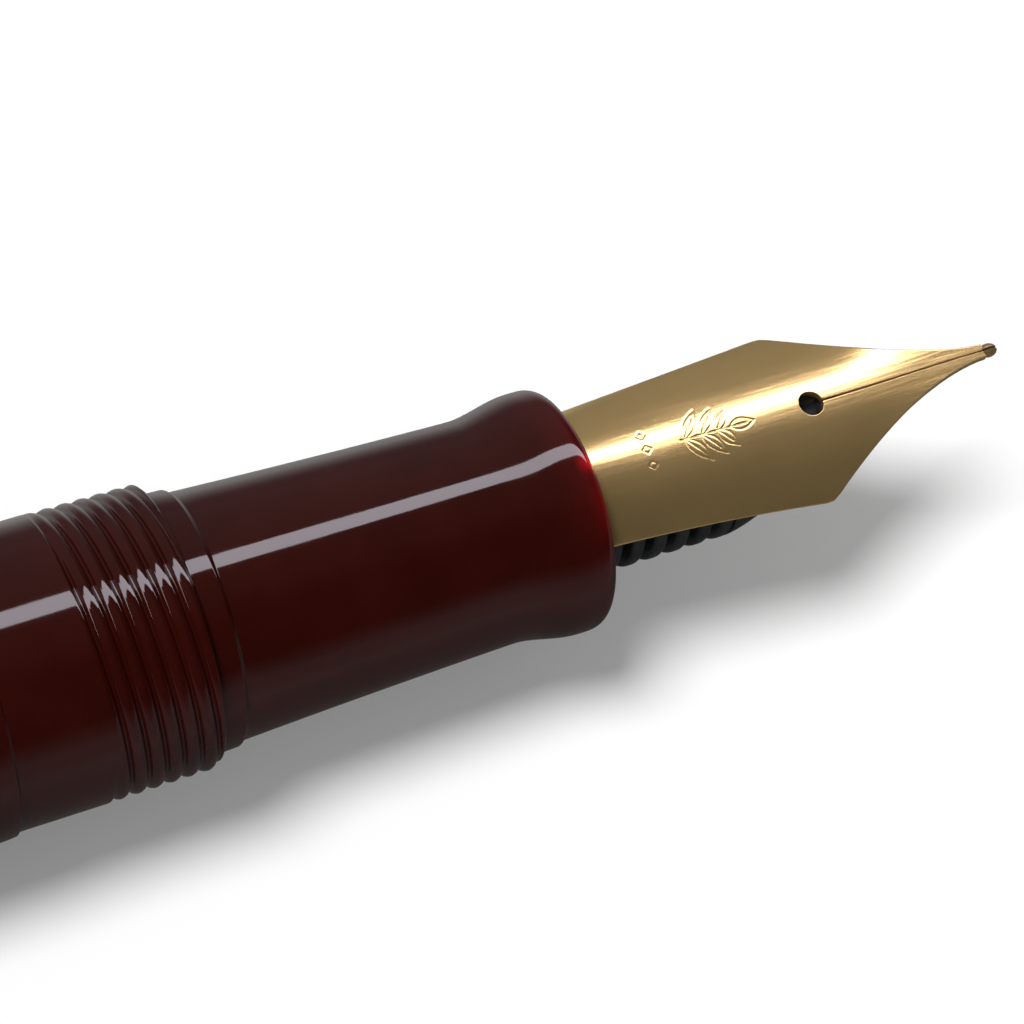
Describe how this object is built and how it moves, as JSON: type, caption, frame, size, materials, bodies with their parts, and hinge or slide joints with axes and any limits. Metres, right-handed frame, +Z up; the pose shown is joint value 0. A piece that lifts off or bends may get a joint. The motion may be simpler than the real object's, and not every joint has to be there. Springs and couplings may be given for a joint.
{
  "type": "fountain pen",
  "caption": "Resin fountain pen with a flared grip, a gold nib on a finned feed, a screw-neck barrel, a piston converter inside, and its clipped cap pushed onto the tail.",
  "frame": {"origin": "on the pen's axis, in the middle of the smooth neck that the cap's mouth closes over", "axes": "+X along the pen towards the nib's tip, +Z up out of the nib's upper face and the clip, +Y to the left when writing away from the reader"},
  "size_m": [0.1472, 0.0144, 0.0176],
  "materials": {
    "resin": "polished dark maroon resin, slightly translucent at thin edges",
    "nib_gold": "polished yellow gold alloy with fine engraved lines",
    "tipping": "ground hard alloy pellet",
    "feed_plastic": "moulded black plastic",
    "converter_black": "moulded black plastic",
    "clear_plastic": "clear moulded plastic",
    "steel": "bright plated steel",
    "seal_rubber": "moulded rubber",
    "liner_plastic": "moulded black plastic",
    "gold_plate": "polished gold plating",
    "brass_parts": "turned brass"
  },
  "bodies": {
    "barrel": {"barrel": "resin"},
    "front_unit": {"section": "resin", "nib": "nib_gold", "nib_tipping": "tipping", "feed": "feed_plastic", "nib_housing": "feed_plastic"},
    "converter": {"converter_socket": "converter_black", "converter_tube": "clear_plastic", "converter_band": "steel", "converter_guide": "converter_black"},
    "knob": {"converter_spindle": "steel", "converter_knob": "converter_black"},
    "piston": {"piston_rod": "converter_black", "piston_seal": "seal_rubber"},
    "cap": {"cap_shell": "resin", "cap_liner": "liner_plastic", "cap_band": "gold_plate", "cap_trim_ring": "gold_plate", "cap_nut": "brass_parts", "clip_ring": "gold_plate", "finial": "resin", "finial_stud": "brass_parts"},
    "clip": {"clip": "gold_plate"}
  },
  "joints": [
    {"name": "section_withdraw", "type": "slide", "parent": "barrel", "child": "front_unit", "axis": [1, 0, 0], "range_m": [0, 0.06]},
    {"name": "cap_pull", "type": "slide", "parent": "barrel", "child": "cap", "axis": [-1, 0, 0], "range_m": [0, 0.036]},
    {"name": "clip_flex", "type": "hinge", "parent": "cap", "child": "clip", "pos_m": [-0.09497, 0, 0.0083], "axis": [0, -1, 0], "range_deg": [0, 4], "stiffness_Nm_per_rad": 2},
    {"name": "converter_pull", "type": "slide", "parent": "front_unit", "child": "converter", "axis": [-1, 0, 0], "range_m": [0, 0.006]},
    {"name": "knob_turn", "type": "hinge", "parent": "converter", "child": "knob", "pos_m": [-0.0463, 0, 0], "axis": [1, 0, 0], "range_deg": [0, 3043]},
    {"name": "piston_travel", "type": "slide", "parent": "converter", "child": "piston", "axis": [1, 0, 0], "range_m": [0, 0.0169]}
  ],
  "couplings": [
    {"joint": "knob_turn", "follows": "piston_travel", "rad_per_m": 3141.6}
  ]
}
